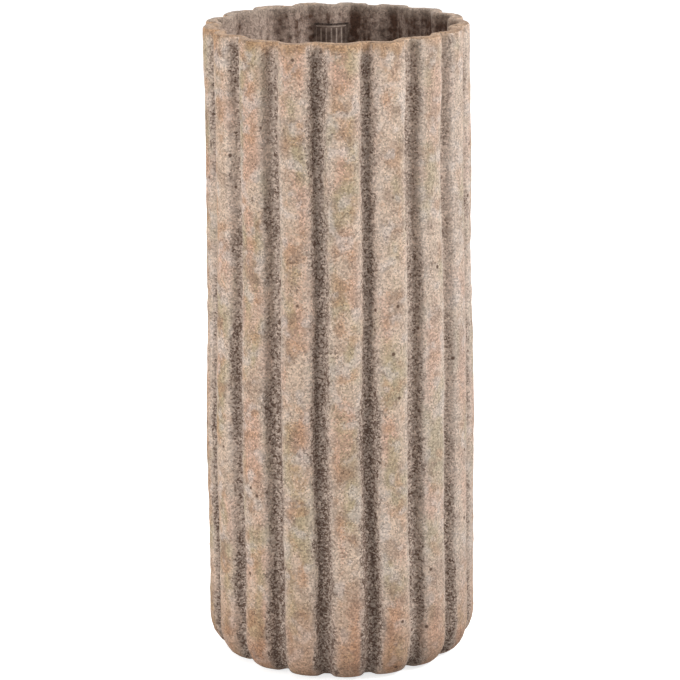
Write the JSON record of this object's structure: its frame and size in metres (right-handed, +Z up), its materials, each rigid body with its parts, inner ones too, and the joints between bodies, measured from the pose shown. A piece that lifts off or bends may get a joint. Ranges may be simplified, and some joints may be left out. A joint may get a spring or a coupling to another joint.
{
  "type": "decorative pot",
  "caption": "Tall round floor pot with a ribbed weathered cement wall, a poured floor slab, a lift-out rubber drain plug and felt floor pads.",
  "frame": {"origin": "on the floor, under the middle of the pot", "axes": "+Z up along the pot's axis, towards the mouth; -Y to the front, through the middle of a rib"},
  "size_m": [0.3156, 0.3146, 0.7405],
  "materials": {
    "weathered_cement": "matte",
    "plain_cement": "matte",
    "black_rubber": "matte",
    "grey_felt": "matte",
    "label_paper": "matte"
  },
  "bodies": {
    "pot": {"pot_wall": "weathered_cement", "base_slab": "plain_cement", "floor_cove": "plain_cement", "floor_pad_1": "grey_felt", "floor_pad_2": "grey_felt", "floor_pad_3": "grey_felt", "floor_pad_4": "grey_felt", "stock_label": "label_paper"},
    "plug": {"drain_plug": "black_rubber"}
  },
  "joints": [
    {"name": "plug_lift", "type": "slide", "parent": "pot", "child": "plug", "axis": [0, 0, 1], "range_m": [0, 0.75]}
  ]
}
